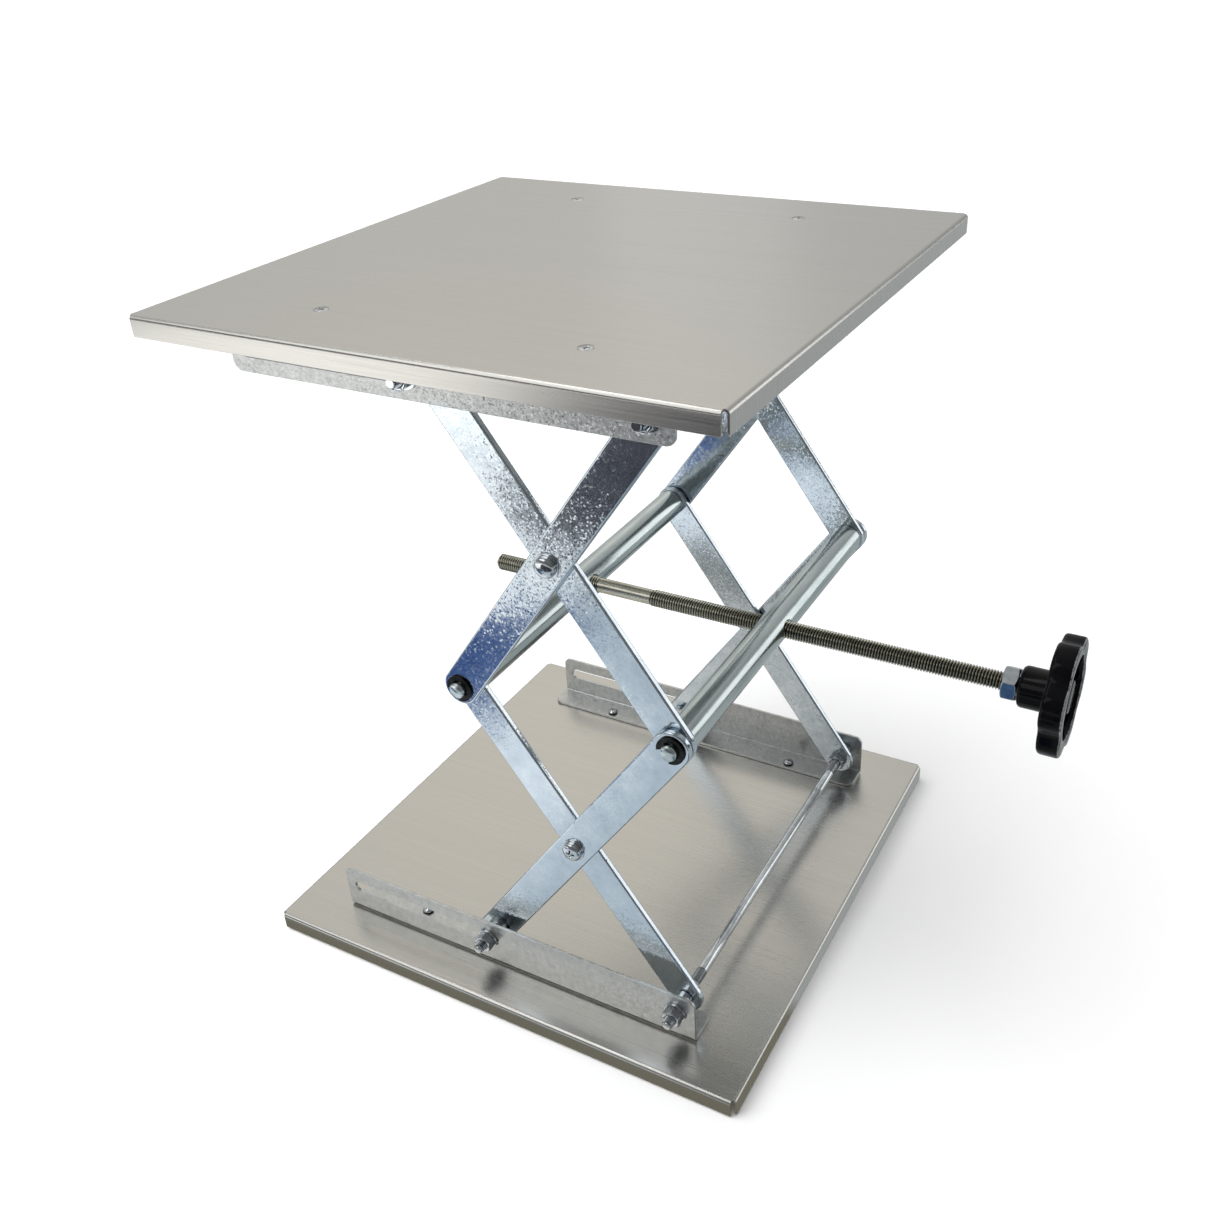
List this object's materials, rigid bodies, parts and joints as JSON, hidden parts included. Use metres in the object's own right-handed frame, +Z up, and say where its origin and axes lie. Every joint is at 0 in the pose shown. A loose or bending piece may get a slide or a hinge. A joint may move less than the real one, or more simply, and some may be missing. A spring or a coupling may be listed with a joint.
{
  "type": "lab jack",
  "caption": "Scissor lab jack: square folded-sheet base and top joined by a two-stage flat-bar scissor, raised by a horizontal lead screw with a lobed black handwheel.",
  "frame": {"origin": "on the bench, in the middle of the overall length and width", "axes": "+X along the lead screw towards the handwheel, +Y across the jack towards its far side, +Z up"},
  "size_m": [0.341, 0.25, 0.3153],
  "materials": {
    "plate_steel": "brushed stainless sheet, brush lines along X",
    "rail_steel": "satin galvanised sheet, faintly mottled",
    "arm_zinc": "bright bluish zinc plate with fine speckle",
    "bar_zinc": "smooth turned bar, zinc plated",
    "screw_steel": "machined thread, oiled",
    "fastener_zinc": "bright zinc and nickel plate",
    "clip_black": "black phosphated spring steel",
    "knob_black": "glossy moulded plastic"
  },
  "bodies": {
    "base": {"base_plate": "plate_steel", "base_rail_near": "rail_steel", "base_rail_far": "rail_steel", "base_screw_1": "fastener_zinc", "base_screw_2": "fastener_zinc", "base_screw_3": "fastener_zinc", "base_screw_4": "fastener_zinc", "lower_tie_rod": "fastener_zinc", "lower_tie_nut_near": "fastener_zinc", "lower_tie_nut_far": "fastener_zinc", "lower_tie_spacer_near": "fastener_zinc", "lower_tie_spacer_far": "fastener_zinc"},
    "lower_inner_arms": {"lower_inner_arm_near": "arm_zinc", "lower_inner_arm_far": "arm_zinc"},
    "lower_outer_arms": {"lower_outer_arm_near": "arm_zinc", "lower_outer_arm_far": "arm_zinc", "lower_pivot_screw_near": "fastener_zinc", "lower_pivot_screw_far": "fastener_zinc", "lower_pivot_nut_near": "fastener_zinc", "lower_pivot_nut_far": "fastener_zinc", "lower_slider_bolt_near": "fastener_zinc", "lower_slider_bolt_far": "fastener_zinc", "lower_slider_nut_near": "fastener_zinc", "lower_slider_nut_far": "fastener_zinc"},
    "upper_inner_arms": {"upper_inner_arm_near": "arm_zinc", "upper_inner_arm_far": "arm_zinc", "upper_slider_bolt_near": "fastener_zinc", "upper_slider_bolt_far": "fastener_zinc", "upper_slider_nut_near": "fastener_zinc", "upper_slider_nut_far": "fastener_zinc"},
    "upper_outer_arms": {"upper_outer_arm_near": "arm_zinc", "upper_outer_arm_far": "arm_zinc", "upper_pivot_screw_near": "fastener_zinc", "upper_pivot_screw_far": "fastener_zinc", "upper_pivot_nut_near": "fastener_zinc", "upper_pivot_nut_far": "fastener_zinc"},
    "top": {"top_plate": "plate_steel", "top_rail_near": "rail_steel", "top_rail_far": "rail_steel", "top_screw_1": "fastener_zinc", "top_screw_2": "fastener_zinc", "top_screw_3": "fastener_zinc", "top_screw_4": "fastener_zinc", "upper_tie_rod": "fastener_zinc", "upper_tie_nut_near": "fastener_zinc", "upper_tie_nut_far": "fastener_zinc", "upper_tie_spacer_near": "fastener_zinc", "upper_tie_spacer_far": "fastener_zinc"},
    "left_bar": {"left_cross_bar": "bar_zinc", "left_clip_near": "clip_black", "left_clip_far": "clip_black"},
    "right_bar": {"right_cross_bar": "bar_zinc", "right_clip_near": "clip_black", "right_clip_far": "clip_black"},
    "screw_carrier": {"lock_nut": "fastener_zinc"},
    "screw_drive": {"lead_screw": "screw_steel", "handwheel": "knob_black"}
  },
  "joints": [
    {"name": "lift", "type": "hinge", "parent": "base", "child": "lower_inner_arms", "pos_m": [0.0415, 0, 0.023], "axis": [0, 1, 0], "range_deg": [-47.5, 1.1]},
    {"name": "lower_cross_pivot", "type": "hinge", "parent": "lower_inner_arms", "child": "lower_outer_arms", "pos_m": [-0.00786, 0, 0.0922], "axis": [0, 1, 0], "range_deg": [-2.2, 95]},
    {"name": "right_bar_pivot", "type": "hinge", "parent": "lower_outer_arms", "child": "upper_inner_arms", "pos_m": [0.0415, 0, 0.1614], "axis": [0, 1, 0], "range_deg": [-95, 2.2]},
    {"name": "left_bar_pivot", "type": "hinge", "parent": "lower_inner_arms", "child": "upper_outer_arms", "pos_m": [-0.05722, 0, 0.1614], "axis": [0, 1, 0], "range_deg": [-2.2, 95]},
    {"name": "upper_fixed_pivot", "type": "hinge", "parent": "upper_outer_arms", "child": "top", "pos_m": [0.0415, 0, 0.2998], "axis": [0, 1, 0], "range_deg": [-47.5, 1.1]},
    {"name": "left_bar_turn", "type": "hinge", "parent": "lower_inner_arms", "child": "left_bar", "pos_m": [-0.05722, 0, 0.1614], "axis": [0, 1, 0], "range_deg": [-1.1, 47.5]},
    {"name": "right_bar_turn", "type": "hinge", "parent": "lower_outer_arms", "child": "right_bar", "pos_m": [0.0415, 0, 0.1614], "axis": [0, 1, 0], "range_deg": [-47.5, 1.1]},
    {"name": "screw_travel", "type": "slide", "parent": "right_bar", "child": "screw_carrier", "axis": [1, 0, 0], "range_m": [-0.0353, 0.001]},
    {"name": "handwheel_turn", "type": "hinge", "parent": "screw_carrier", "child": "screw_drive", "pos_m": [0.0415, 0, 0.1614], "axis": [1, 0, 0], "continuous": true}
  ],
  "couplings": [
    {"joint": "lower_cross_pivot", "follows": "lift", "ratio": -2},
    {"joint": "right_bar_pivot", "follows": "lift", "ratio": 2},
    {"joint": "left_bar_pivot", "follows": "lift", "ratio": -2},
    {"joint": "upper_fixed_pivot", "follows": "lift", "ratio": 1},
    {"joint": "left_bar_turn", "follows": "lift", "ratio": -1},
    {"joint": "right_bar_turn", "follows": "lift", "ratio": 1},
    {"joint": "screw_travel", "follows": "lift", "m_per_rad": 0.0422},
    {"joint": "handwheel_turn", "follows": "lift", "ratio": 212}
  ]
}
